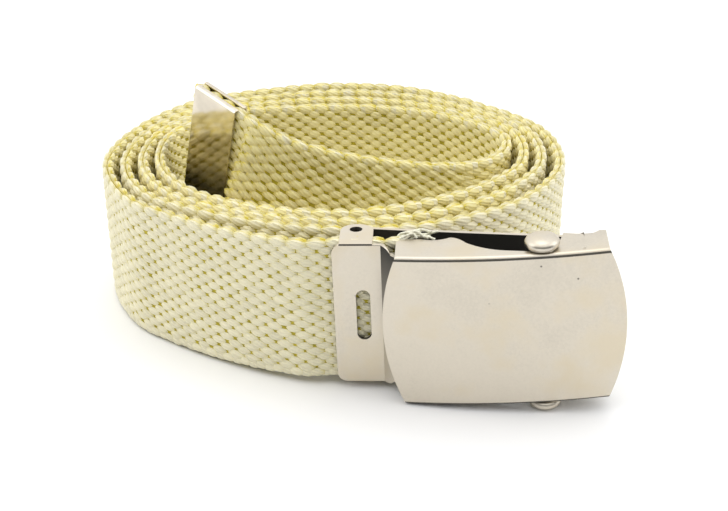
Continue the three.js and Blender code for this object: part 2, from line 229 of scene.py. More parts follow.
class StudioSettings(bpy.types.PropertyGroup):
    floor_colour: colour("Floor", "Colour of the floor and the backdrop", (0.95, 0.95, 0.95))
    sky: bpy.props.FloatProperty(
        name="Surround", description="Strength of the white walls", default=1.1, min=0)
    ceiling: bpy.props.FloatProperty(
        name="Ceiling", description="Strength of the white ceiling", default=1.42, min=0)
    front_wall: bpy.props.FloatProperty(
        name="Front wall", description="Share of the surround left behind the camera",
        default=0.04, min=0, max=1)
    key: bpy.props.FloatProperty(
        name="Key light", description="Power of each soft box", default=0.8, min=0, unit="POWER")


# Trees of nodes and their maths


def set_stops(node, stops):
    elements = node.color_ramp.elements
    while len(elements) < len(stops):
        elements.new(1)
    for element, (place, tone) in zip(elements, stops):
        element.position = place
        element.color = (*tone, 1) if isinstance(tone, tuple) else (tone, tone, tone, 1)


class Signal:
    """What one socket of a tree gives. Arithmetic on it adds Math nodes to the tree."""

    def __init__(self, nodes, socket):
        self.nodes = nodes
        self.socket = socket

    def beside(self, output):
        """Another output of the same node."""
        return Signal(self.nodes, self.socket.node.outputs[output])

    def maths(self, operation, *values):
        return self.nodes.add("ShaderNodeMath", {"operation": operation}, dict(enumerate(values)))

    def __add__(self, other):
        return self.maths("ADD", self, other)

    def __radd__(self, other):
        return self.maths("ADD", other, self)

    def __sub__(self, other):
        return self.maths("SUBTRACT", self, other)

    def __rsub__(self, other):
        return self.maths("SUBTRACT", other, self)

    def __mul__(self, other):
        return self.maths("MULTIPLY", self, other)

    def __rmul__(self, other):
        return self.maths("MULTIPLY", other, self)

    def __truediv__(self, other):
        return self.maths("DIVIDE", self, other)

    def __mod__(self, other):
        return self.maths("MODULO", self, other)

    def __pow__(self, other):
        return self.maths("POWER", self, other)

    def floor(self):
        return self.maths("FLOOR", self)

    def sine(self):
        return self.maths("SINE", self)


class Tree:
    """A tree of nodes under construction, and the one way that a node is added to it."""

    def __init__(self, tree):
        self.tree = tree

    def add(self, kind, settings=None, sockets=None, output=0):
        """Adds a node: its settings first, then the values or links of its sockets."""
        node = self.tree.nodes.new(kind)
        for name, value in (settings or {}).items():
            if name == "stops":
                set_stops(node, value)
            else:
                setattr(node, name, value)
        for name, value in (sockets or {}).items():
            if isinstance(value, Signal):
                self.tree.links.new(value.socket, node.inputs[name])
            else:
                node.inputs[name].default_value = value
        return Signal(self, node.outputs[output])


class Paint(Tree):
    """The nodes of a material or a world, from its own place to its shader."""

    def __init__(self, owner, output="ShaderNodeOutputMaterial"):
        owner.use_nodes = True
        super().__init__(owner.node_tree)
        self.tree.nodes.clear()
        self.owner = owner
        self.output = self.tree.nodes.new(output)
        self.place = self.add("ShaderNodeTexCoord", output="Object")

    def noise(self, scale, detail=3.0, roughness=0.55):
        return self.add("ShaderNodeTexNoise", None, {
            "Vector": self.place, "Scale": scale, "Detail": detail, "Roughness": roughness})

    def ramp(self, value, stops):
        return self.add("ShaderNodeValToRGB", {"stops": stops}, {"Fac": value})

    def attribute(self, name):
        return self.add("ShaderNodeAttribute", {"attribute_name": name}, output="Fac")

    def mixed(self, factor, *tones):
        """A colour between two others. Mix has one set of sockets for each data type."""
        first, second = (tone if isinstance(tone, Signal) else (*tone, 1) for tone in tones)
        return self.add("ShaderNodeMix", {"data_type": "RGBA"}, {0: factor, 6: first, 7: second}, 2)

    def finish(self, kind, sockets):
        shader = self.add(kind, None, sockets)
        self.tree.links.new(shader.socket, self.output.inputs["Surface"])
        return self.owner

    def surface(self, height, strength, distance, sockets):
        """Ends a material with its shader, over a bump that follows a height."""
        bump = self.add("ShaderNodeBump", None, {
            "Strength": strength, "Distance": distance, "Height": height})
        return self.finish("ShaderNodeBsdfPrincipled", {**sockets, "Normal": bump})


# Materials


def paint_for(name):
    return Paint(bpy.data.materials.new(name))


def shade(rgb, factor):
    return tuple(min(1.0, channel * factor) for channel in rgb)


def cotton_yarn(name, base, shadow):
    """Plied yarn: strands that twist along it, a tone of its own for each raised stretch, and
    painted shade on its sides and ends.
    """
    plies = 7
    twist = 12
    paint = paint_for(name)
    grain = paint.add("ShaderNodeUVMap", {"uv_map": "grain"})
    along = paint.add("ShaderNodeSeparateXYZ", None, {0: grain})
    around = along.beside("Y")
    strands = (around * (2 * math.pi * plies) + along * twist).sine()
    fuzz = paint.noise(2600, 4)
    level = 0.14 * strands + 0.5 * fuzz + 0.35 * paint.attribute("tone") + 0.3 * paint.noise(90)
    light = paint.ramp(level, [(0.18, shade(base, 0.86)), (0.5, base), (0.95, shade(base, 1.1))])
    ends = (2 * along - 1) ** 2
    sides = 0.5 - 0.5 * (around * (2 * math.pi) + math.pi / 2).sine()
    # Painted shade: the yarn's ends and sides take the darker, yellower shadow colour, for the shade
    # and bounced light between raised yarns.
    painted_shade_edges = paint.ramp(0.8 * ends + 0.5 * sides + 0.12 * strands, [(0.16, 0.0), (0.66, 1.0)])
    return paint.surface(0.5 * strands + 0.7 * fuzz, strength=0.65, distance=0.15 * MM, sockets={
        "Base Color": paint.mixed(painted_shade_edges, light, shadow), "Roughness": 0.9,
        "Sheen Weight": 0.25, "Sheen Roughness": 0.5, "Specular IOR Level": 0.2})


def plain_cotton(name, base):
    """Cotton without a weave of its own: the strap between its raised yarns, or a loose thread."""
    paint = paint_for(name)
    fuzz = paint.noise(1500, 4)
    tint = paint.ramp(fuzz, [(0.3, shade(base, 0.7)), (0.7, shade(base, 1.25))])
    return paint.surface(fuzz, strength=0.6, distance=0.15 * MM, sockets={
        "Base Color": tint, "Roughness": 0.95, "Specular IOR Level": 0.1})


def worn_nickel(settings):
    """Tumbled nickel plate: faint clouds and yellowed patches, fine grain, a few pits, and painted
    shade where its hollows and folds are marked.
    """
    made = bpy.data.materials.get("worn_nickel")
    if made:
        return made
    paint = paint_for("worn_nickel")
    clouds = paint.noise(48, 4, 0.6)
    grain = paint.noise(1900, 3, 0.6)
    cells = paint.add("ShaderNodeTexVoronoi", None, {"Vector": paint.place, "Scale": 260.0})
    outside = paint.ramp(cells, [(0.035, 0.0), (0.07, 1.0)])
    sparse = paint.ramp(paint.noise(140, 2), [(0.52, 1.0), (0.57, 0.0)])
    unpitted = 1 - (1 - outside) * (1 - sparse)
    base = tuple(settings.nickel_colour)
    tint = paint.ramp(0.7 * clouds + 0.3 * grain,
                      [(0.36, shade(base, 0.9)), (0.5, base), (0.64, shade(base, 1.05))])
    yellowed = (base[0], base[1] * 0.95, base[2] * 0.82)
    patches = paint.ramp(paint.noise(95), [(0.48, 0.0), (0.66, 0.6)])
    clean = paint.mixed(unpitted, shade(base, 0.28), paint.mixed(patches, tint, yellowed))
    # Painted shade: marked corners turn dark, dull and less metallic, standing in for the shade in
    # hollows, creases and folds.
    tarnish = paint.attribute("tarnish")
    return paint.surface(grain * 0.5 + unpitted, strength=0.25, distance=0.04 * MM, sockets={
        "Base Color": paint.mixed(tarnish, clean, shade(base, 0.05)),
        "Metallic": 1 - 0.8 * tarnish,
        "Roughness": settings.roughness - 0.12 + 0.24 * clouds + 0.06 * grain + 0.3 * tarnish})


def polished_tip(settings):
    """Thin polished plate with dull spots, and a painted dark reflection of the coil's shade over
    its lower part.
    """
    paint = paint_for("polished_tip")
    clouds = paint.noise(160, 4, 0.6)
    grain = paint.noise(2400, 3, 0.6)
    base = tuple(settings.tip_colour)
    bright = paint.ramp(clouds, [(0.35, shade(base, 0.85)), (0.65, shade(base, 1.1))])
    # Painted reflection: below a height the plate turns nearly black, standing in for the coil's
    # shade mirrored there.
    low = paint.ramp(20 * paint.add("ShaderNodeSeparateXYZ", None, {0: paint.place}, "Z")
                     + 0.12 * clouds, [(0.52, 0.92), (0.66, 0.0)])
    return paint.surface(grain + clouds, strength=0.15, distance=0.03 * MM, sockets={
        "Base Color": paint.mixed(low, bright, shade(base, 0.06)), "Metallic": 1.0,
        "Roughness": 0.05 + 0.12 * clouds})


def studio_floor(settings):
    paint = paint_for("studio_floor")
    white = tuple(settings.floor_colour)
    tone = paint.ramp(paint.noise(6, 2), [(0.3, shade(white, 0.99)), (0.7, white)])
    return paint.finish("ShaderNodeBsdfPrincipled", {
        "Base Color": tone, "Roughness": 0.9, "Specular IOR Level": 0.1})


# Shapes


def shares(steps):
    """Even parts of a whole, from none of it to all."""
    return [step / steps for step in range(steps + 1)]


def centripetal(points, steps=12):
    """A smooth curve through the points, with the spans' times from the roots of their lengths."""
    before = points[0] * 2 - points[1]
    after = points[-1] * 2 - points[-2]
    ends = [before, *points, after]
    curve = []
    for index in range(1, len(ends) - 2):
        p0, p1, p2, p3 = ends[index - 1:index + 3]
        t0, t1, t2 = (math.sqrt((b - a).length) for a, b in ((p0, p1), (p1, p2), (p2, p3)))
        leave = ((p1 - p0) / t0 - (p2 - p0) / (t0 + t1) + (p2 - p1) / t1) * t1
        arrive = ((p2 - p1) / t1 - (p3 - p1) / (t1 + t2) + (p3 - p2) / t2) * t1
        square = p2 * 3 - p1 * 3 - leave * 2 - arrive
        cube = p1 * 2 - p2 * 2 + leave + arrive
        for t in shares(steps)[:-1]:
            curve.append(p1 + leave * t + square * t ** 2 + cube * t ** 3)
    curve.append(points[-1].copy())
    return curve


def evenly(points, spacing):
    """The same line with its points an even distance apart."""
    total = sum((b - a).length for a, b in zip(points, points[1:]))
    count = max(2, round(total / spacing))
    gap = total / count
    line = [points[0].copy()]
    walked = 0.0
    for a, b in zip(points, points[1:]):
        span = (b - a).length
        while len(line) <= count and walked + span >= gap * len(line) - 1e-9:
            line.append(a.lerp(b, (gap * len(line) - walked) / span))
        walked += span
    return line


def middle_of(node):
    low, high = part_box(node)
    return (low + high) / 2


def from_coil(tilt):
    """The buckle's frame, seen from the coil's middle: u along it, v to its back, z up it."""
    turned = Matrix.Rotation(BUCKLE_TURN, 4, "Z") @ Matrix.Rotation(-tilt, 4, "Y")
    return Matrix.Translation(BUCKLE_PLACE) @ turned


def coil_middle():
    """Where the coil's middle lies in the frame, from the roller's place there."""
    roller = from_coil(FACE_TILT) @ Vector((ROLLER["u"], ROLLER["v"], 0))
    found = middle_of("roller_bar")
    return Vector((found.x - roller.x, found.y - roller.y, 0))


COIL_MIDDLE = coil_middle()
TO_COIL = Matrix.Translation(COIL_MIDDLE)
TO_FACE = TO_COIL @ from_coil(FACE_TILT)
TO_CLAMP = TO_COIL @ from_coil(CLAMP_TILT)


def run_points(run):
    return [Vector((row["x"], row["y"], row["lift"])) * MM + Vector((0, 0, WEB_WIDTH))
            for row in run]


def strap_edge():
    """The middle of the strap's upper edge, from the tip's end to the clamp."""
    end = TIP_LENGTH - TIP_WALL - CLEARANCE
    points = [TIP_MOUTH + TIP_DIRECTION * along
              for along in (end, end / 2, 0, -TIP_STRAIGHT / 2, -TIP_STRAIGHT)]
    points += run_points(INNER_RUN)
    for step in range(COIL_FIRST, COIL_LAST + 1):
        row = COIL_ROWS[step % len(COIL_ROWS)]
        turned = 2 * math.pi * step / len(COIL_ROWS)
        reach = (row["radius"] + row["pitch"] * step / len(COIL_ROWS)) * MM
        points.append(Vector((reach * math.cos(turned), reach * math.sin(turned), WEB_WIDTH)))
    points += run_points(OUTER_RUN)
    rest = from_coil(CLAMP_TILT)
    points += [rest @ Vector((u, WEB_DEPTH, WEB_WIDTH / 2)) for u in WEB_REST]
    line = evenly(centripetal(points), 1 * MM)
    for place in line:
        place.z = max(place.z, WEB_WIDTH)
    return [TO_COIL @ place for place in line]


STRAP = strap_edge()


def across_strap(along):
    """The directions through the strap and down it, where its edge runs along."""
    through = Vector((-along.y, along.x, 0)).normalized()
    down = through.cross(along).normalized()
    return through, (down if down.z < 0 else -down)


def directions(line):
    last = len(line) - 1
    return [(line[min(i + 1, last)] - line[max(i - 1, 0)]).normalized() for i in range(last + 1)]


def linked(name, data):
    piece = bpy.data.objects.new(name, data)
    bpy.context.scene.collection.objects.link(piece)
    return piece


def new_mesh_object(name, vertices, faces):
    mesh = bpy.data.meshes.new(name)
    mesh.from_pydata(vertices, [], faces)
    mesh.update()
    return linked(name, mesh)


def line_object(name, lines):
    data = bpy.data.curves.new(name, "CURVE")
    data.dimensions = "3D"
    for points in lines:
        spline = data.splines.new("POLY")
        spline.points.add(len(points) - 1)
        for point, place in zip(spline.points, points):
            point.co = (*place, 1)
    return linked(name, data)


def evaluated_mesh(source, name):
    """The plain mesh of an object as its modifiers and settings leave it."""
    graph = bpy.context.evaluated_depsgraph_get()
    mesh = bpy.data.meshes.new_from_object(source.evaluated_get(graph), depsgraph=graph)
    mesh.name = name
    return mesh


def ring_faces(count, size):
    """The quads between one closed ring of points and the next."""
    faces = []
    for ring in range(count - 1):
        for corner in range(size):
            a = ring * size + corner
            b = ring * size + (corner + 1) % size
            faces.append((a, b, b + size, a + size))
    return faces


def loft(name, rings):
    """A solid through rings of points, with flat ends."""
    size = len(rings[0])
    vertices = [point for ring in rings for point in ring]
    faces = ring_faces(len(rings), size)
    faces.append(tuple(range(size))[::-1])
    faces.append(tuple(range(len(vertices) - size, len(vertices))))
    piece = new_mesh_object(name, vertices, faces)
    outward(piece)
    return piece


def turned_piece(name, place, axis, profile):
    """A piece turned about an upright axis of the buckle, from radii and heights."""
    rings = [[place @ Vector((axis["u"] + radius * math.cos(2 * math.pi * turn),
                              axis["v"] + radius * math.sin(2 * math.pi * turn), z))
              for turn in shares(48)[:-1]] for radius, z in profile]
    piece = loft(name, rings)
    smooth(piece, 50)
    return piece


def outward(piece):
    mesh = bmesh.new()
    mesh.from_mesh(piece.data)
    bmesh.ops.recalc_face_normals(mesh, faces=mesh.faces)
    mesh.to_mesh(piece.data)
    mesh.free()


def smooth(piece, angle=40):
    piece.data.shade_smooth()
    piece.data.set_sharp_from_angle(angle=math.radians(angle))


def applied(piece):
    """The piece with its modifiers worked into its mesh."""
    mesh = evaluated_mesh(piece, piece.name)
    piece.modifiers.clear()
    old = piece.data
    piece.data = mesh
    bpy.data.meshes.remove(old)
    mesh.name = piece.name


def rounded(piece, width):
    """The piece with its sharp edges worn round and its flats still shading as flats."""
    piece.data.shade_smooth()
    bevel = piece.modifiers.new("edges", "BEVEL")
    bevel.width = width
    bevel.segments = 2
    bevel.limit_method = "ANGLE"
    bevel.angle_limit = math.radians(30)
    weighted = piece.modifiers.new("flats", "WEIGHTED_NORMAL")
    weighted.weight = 100
    applied(piece)


def merged_copy(node, name):
    """A new piece with a CAD node's shape, its loose triangles joined and its flats dissolved."""
    mesh = bmesh.new()
    mesh.from_mesh(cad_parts[node].data)
    bmesh.ops.remove_doubles(mesh, verts=mesh.verts, dist=0.002 * MM)
    bmesh.ops.dissolve_limit(
        mesh, angle_limit=math.radians(0.5), verts=mesh.verts, edges=mesh.edges)
    data = bpy.data.meshes.new(name)
    mesh.to_mesh(data)
    mesh.free()
    return linked(name, data)


def paint_shade_marks(piece, frame_of, amount):
    """Marks how much painted shade each face's corners get, from their place and its normal there.
    """
    back = frame_of.inverted()
    turn = back.to_3x3()
    points = [back @ vertex.co for vertex in piece.data.vertices]
    marks = piece.data.attributes.new("tarnish", "FLOAT", "CORNER")
    for face in piece.data.polygons:
        normal = turn @ face.normal
        middle = back @ face.center
        for loop, vertex in zip(face.loop_indices, face.vertices):
            marks.data[loop].value = amount(points[vertex], normal, middle)


def painted_shade_of_face(place, normal, _middle):
    """Painted shade on the face plate's hollow, and dark painted lines where it folds into its
    flanges.
    """
    if normal.y > 0.5 and place.y < 4 * MM and abs(place.z) < INNER_HALF_HEIGHT:
        return 1.0
    return 0.9 if normal.y < 0 and (0.06 < normal.z < 0.5 or normal.z < -0.3) else 0.0


# Painted shade on the back plate's faces that look forward, into the buckle's opening.
def painted_shade_of_back(_place, normal, _middle):
    return 1.0 if normal.y < -0.5 else 0.0


def painted_shade_of_clamp(place, normal, middle):
    """Painted shade on the clamp plate's back and on its step, darker towards the top, on the ears'
    folds and on the walls of the window.
    """
    stepped = normal.y < -0.3 and normal.x < -0.3 and place.x > STEP["start"]
    if stepped or place.x > STEP["end"]:
        return min(1.0, max(0.0, 0.45 + place.z / STEP["fade"]))
    if normal.y < -0.3 and middle.z > EAR_LINE:
        return 0.95
    if abs(middle.x - WINDOW["u"]) < WINDOW["half"] and abs(middle.z) < WINDOW["high"] / 2:
        return 0.9 if abs(normal.y) < 0.7 else 0.0
    return 0.8 if normal.y > 0.5 else 0.0


def dress(piece, material, body, node=None):
    """Gives a finished piece its material and its body, and hides the CAD node that it stands for.
    """
    piece.data.materials.clear()
    piece.data.materials.append(material)
    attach(piece, body)
    if node:
        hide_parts(node)


def bent(start, bend, end):
    """Points of a stretch that leaves start for bend and arrives at end from there."""
    return [tuple((1 - t) ** 2 * a + 2 * t * (1 - t) * b + t ** 2 * c
                  for a, b, c in zip(start, bend, end)) for t in shares(8)[1:]]


# Geometry node trees


class Nodes(Tree):
    """A geometry node tree, with named inputs for its sizes."""

    def __init__(self, name, inputs):
        super().__init__(bpy.data.node_groups.new(name, "GeometryNodeTree"))
        face = self.tree.interface
        face.new_socket("Geometry", in_out="INPUT", socket_type="NodeSocketGeometry")
        for label, kind in inputs.items():
            face.new_socket(label, in_out="INPUT", socket_type="NodeSocket" + kind)
        face.new_socket("Geometry", in_out="OUTPUT", socket_type="NodeSocketGeometry")
        self.start = self.tree.nodes.new("NodeGroupInput")
        self.end = self.tree.nodes.new("NodeGroupOutput")

    def given(self, label):
        return Signal(self, self.start.outputs[label])

    def vector(self, operation, *values):
        return self.add("ShaderNodeVectorMath", {"operation": operation}, dict(enumerate(values)))

    def scaled(self, vector, factor):
        return self.add("ShaderNodeVectorMath", {"operation": "SCALE"}, {0: vector, "Scale": factor})

    def finish(self, geometry):
        real = self.add("GeometryNodeRealizeInstances", None, {"Geometry": geometry})
        painted = self.add("GeometryNodeSetMaterial", None,
                           {"Geometry": real, "Material": self.given("Material")})
        self.tree.links.new(painted.socket, self.end.inputs[0])
        return self.tree


def woven_tree():
    """Rows of yarn along a strap's edge line. Every second yarn of a row lies a step lower."""
    nodes = Nodes("woven_yarns", {
        "Yarn": "Object", "Material": "Material", "Spacing": "Float", "Rows": "Int",
        "Row Height": "Float", "Top Margin": "Float", "Depth": "Float", "Step Down": "Float",
        "Slant": "Float", "Side": "Float", "Uneven": "Float", "Seed": "Int"})
    points = nodes.add("GeometryNodeCurveToPoints", {"mode": "LENGTH"}, {
        "Curve": nodes.given("Geometry"), "Length": nodes.given("Spacing")})
    along = points.beside("Tangent")
    copies = nodes.add("GeometryNodeDuplicateElements", {"domain": "POINT"}, {
        "Geometry": points, "Amount": nodes.given("Rows")})
    row = copies.beside("Duplicate Index")
    column = (nodes.add("GeometryNodeInputIndex") / nodes.given("Rows")).floor()

    level = nodes.vector("CROSS_PRODUCT", (0, 0, 1), along)
    through = nodes.scaled(nodes.vector("NORMALIZE", level), nodes.given("Side"))
    up = nodes.vector("NORMALIZE", nodes.vector("CROSS_PRODUCT", along, level))

    seed = nodes.given("Seed")
    rough = nodes.given("Uneven")
    stray = nodes.add("FunctionNodeRandomValue", {"data_type": "FLOAT_VECTOR"}, {
        "Min": nodes.scaled((-1, -1, -1), rough), "Max": nodes.scaled((1, 1, 1), rough),
        "Seed": seed})
    depth = nodes.given("Top Margin") + (
        row * nodes.given("Row Height") + column % 2 * nodes.given("Step Down"))
    offset = nodes.vector("ADD", nodes.scaled(up, depth * -1),
                          nodes.scaled(through, nodes.given("Depth")))
    placed = nodes.add("GeometryNodeSetPosition", None,
                       {"Geometry": copies, "Offset": nodes.vector("ADD", offset, stray)})

    slant = nodes.scaled(up, nodes.given("Slant") * nodes.given("Side"))
    turn = nodes.add("FunctionNodeAxesToRotation", {"primary_axis": "X", "secondary_axis": "Z"}, {
        "Primary Axis": nodes.vector("ADD", along, slant), "Secondary Axis": through})
    size = nodes.add("FunctionNodeRandomValue", {"data_type": "FLOAT_VECTOR"}, {
        "Min": (0.93, 0.92, 0.92), "Max": (1.07, 1.08, 1.05), "Seed": seed + 1})
    yarn = nodes.add("GeometryNodeObjectInfo", None, {"Object": nodes.given("Yarn")}, "Geometry")
    laid = nodes.add("GeometryNodeInstanceOnPoints", None, {
        "Points": placed, "Instance": yarn, "Rotation": turn, "Scale": size})
    tone = nodes.add("FunctionNodeRandomValue", {"data_type": "FLOAT"}, {"Seed": seed + 2}, 1)
    return nodes.finish(nodes.add(
        "GeometryNodeStoreNamedAttribute", {"domain": "INSTANCE", "data_type": "FLOAT"},
        {"Geometry": laid, "Name": "tone", "Value": tone}))


def run_tree(name, source, tree, values):
    """The plain mesh that a tree makes from a source object."""
    modifier = source.modifiers.new(name, "NODES")
    modifier.node_group = tree
    for item in tree.interface.items_tree:
        if item.in_out == "INPUT" and item.name in values:
            modifier[item.identifier] = values[item.name]
    mesh = evaluated_mesh(source, name)
    source.modifiers.clear()
    return linked(name, mesh)


def yarn_grain(settings, long, around=7, rings=4):
    """One raised stretch of yarn: full in the middle, with both ends dipping into the strap."""
    half = long / 2
    vertices = []
    marks = []
    for ring in range(rings):
        share = -0.8 + 1.6 * ring / (rings - 1)
        girth = math.sqrt(1 - share ** 2 * 0.92)
        sink = settings.yarn_height * 0.35 * share ** 2
        for corner in range(around):
            turn = 2 * math.pi * corner / around
            vertices.append((
                half * share,
                settings.yarn_width / 2 * girth * math.sin(turn),
                settings.yarn_height / 2 * (girth * math.cos(turn) - 1) - sink))
            marks.append((0.5 + share / 2, corner / around))
    sunk = -settings.yarn_height * 0.95
    first = len(vertices)
    vertices += [(-half, 0, sunk), (half, 0, sunk)]
    marks += [(0, 0.5), (1, 0.5)]
    faces = ring_faces(rings, around)
    last = (rings - 1) * around
    for corner in range(around):
        after = (corner + 1) % around
        faces.append((first, after, corner))
        faces.append((first + 1, last + corner, last + after))
    grain = new_mesh_object("yarn_grain", vertices, faces)
    outward(grain)
    layer = grain.data.uv_layers.new(name="grain")
    for polygon in grain.data.polygons:
        turned = [marks[v][1] for v in polygon.vertices]
        wraps = max(turned) - min(turned) > 0.6
        for loop, vertex in zip(polygon.loop_indices, polygon.vertices):
            along, turn = marks[vertex]
            layer.data[loop].uv = (along, turn + (1 if wraps and turn < 0.4 else 0))
    grain.data.shade_smooth()
    return grain


# Operators


class BELT_OT_strap(bpy.types.Operator):
    """Builds the strap's ground, which carries the raised yarns"""

    bl_idname = "belt.strap"
    bl_label = "Strap ground"

    def execute(self, context):
        settings = context.scene.belt_webbing
        sunk = 0.42 * MM
        half = WEB_THICKNESS / 2 - sunk
        top = 0.5 * MM
        round_ = 0.45 * MM
        section = (
            (half - round_, top), (half, top + round_), (half, WEB_WIDTH - top - round_),
            (half - round_, WEB_WIDTH - top), (round_ - half, WEB_WIDTH - top),
            (-half, WEB_WIDTH - top - round_), (-half, top + round_), (round_ - half, top))
        line = STRAP[::2]
        rings = []
        for place, along in zip(line, directions(line)):
            through, down = across_strap(along)
            rings.append([place + through * out + down * depth for out, depth in section])
        strap = loft("strap_ground", rings)
        smooth(strap)
        # Painted shade: the strap's ground takes the dark ground colour, for the shade between its
        # raised yarns.
        material = plain_cotton("cotton_ground", tuple(settings.ground_shade_colour))
        dress(strap, material, "belt", "webbing")
        return {"FINISHED"}


class BELT_OT_yarns(bpy.types.Operator):
    """Lays the raised yarns on both faces of the strap and along its edges"""

    bl_idname = "belt.yarns"
    bl_label = "Yarns"

    def execute(self, context):
        settings = context.scene.belt_webbing
        base_yarn = cotton_yarn("cotton_yarn", tuple(settings.yarn_colour),
                            tuple(settings.shadow_colour))
        interreflected = cotton_yarn("cotton_yarn_inside", tuple(settings.inside_colour),
                              tuple(settings.inside_shadow))
        tree = woven_tree()
        row_height = (WEB_WIDTH - 0.8 * MM) / settings.rows
        values = {
            "Material": base_yarn, "Spacing": settings.pitch / 2, "Rows": settings.rows,
            "Row Height": row_height, "Top Margin": row_height * 0.26,
            "Depth": WEB_THICKNESS / 2, "Step Down": row_height * 0.48, "Uneven": 0.06 * MM,
            "Seed": settings.seed}
        middle = len(STRAP) // 2
        stretches = (
            {"name": "strip", "points": STRAP[:LOOSE_STRIP + 1], "outer": 0.16, "inner": 0.1},
            {"name": "inner_turns", "points": STRAP[LOOSE_STRIP:middle + 1], "outer": 0.04,
             "inner": 0.12},
            {"name": "outer_turns", "points": STRAP[middle:], "outer": 0.04, "inner": 0.12})
        faces = ({"name": "inner", "side": 1.0, "long": settings.inner_length},
                 {"name": "outer", "side": -1.0, "long": settings.outer_length})
        for face in faces:
            grain = yarn_grain(settings, face["long"])
            for stretch in stretches:
                line = line_object("strap_line", [stretch["points"]])
                name = f"yarns_{stretch['name']}_{face['name']}"
                # Every stretch but the outer face of the outer turns gets the copy with painted
                # bounce light.
                material = base_yarn if name == "yarns_outer_turns_outer" else interreflected
                yarns = run_tree(name, line, tree, {
                    **values, "Material": material, "Yarn": grain, "Side": face["side"],
                    "Slant": stretch[face["name"]]})
                dress(yarns, material, "belt")
                bpy.data.objects.remove(line)
            bpy.data.objects.remove(grain)
        self.lay_edges(settings, tree, values)
        return {"FINISHED"}

    def lay_edges(self, settings, tree, values):
        """Two staggered rows of yarn over the top and the bottom of the strap."""
        grain = yarn_grain(settings, settings.edge_length)
        for edge, depth in (("top", 0.7 * MM), ("bottom", WEB_WIDTH - 1.3 * MM)):
            for face, side, start in (("inner", 1.0, 0), ("outer", -1.0, 1)):
                line = line_object("strap_line", [STRAP[start:]])
                yarns = run_tree(f"edge_{edge}_{face}", line, tree, {
                    **values, "Yarn": grain, "Spacing": settings.pitch, "Rows": 1,
                    "Row Height": 0.0, "Top Margin": depth, "Side": side, "Depth": 1.2 * MM,
                    "Step Down": 0.0, "Slant": 0.06})
                dress(yarns, values["Material"], "belt")
                bpy.data.objects.remove(line)
        bpy.data.objects.remove(grain)


class BELT_OT_threads(bpy.types.Operator):
    """Draws the frayed threads of the strap's cut end, over the face plate's flange"""

    bl_idname = "belt.threads"
    bl_label = "Frayed threads"

    def execute(self, context):
        settings = context.scene.belt_webbing
        chance = random.Random(settings.seed)
        lines = []
        for _ in range(settings.threads):
            root = Vector((WEB_END, WEB_DEPTH + chance.uniform(-0.6, 1.6) * MM,
                           WEB_WIDTH / 2 - chance.uniform(0.2, 1.2) * MM))
            reach = chance.uniform(3.5, 8.5) * MM
            knots = [root]
            for share in (0.35, 0.7, 1):
                stray = Vector([chance.uniform(-0.7, 0.7) for _ in range(3)]) * MM
                rise = Vector((reach * share, 0.8 * MM, 1.3 * MM * math.sin(math.pi * share * 0.7)))
                knots.append(root + rise + stray)
            lines.append([TO_CLAMP @ place for place in centripetal(knots, 5)])
        source = line_object("thread_lines", lines)
        source.data.bevel_depth = settings.thread_radius
        source.data.bevel_resolution = 1
        threads = linked("frayed_threads", evaluated_mesh(source, "frayed_threads"))
        bpy.data.objects.remove(source)
        outward(threads)
        smooth(threads, 80)
        material = plain_cotton("cotton_thread", tuple(settings.thread_colour))
        dress(threads, material, "belt")
        return {"FINISHED"}


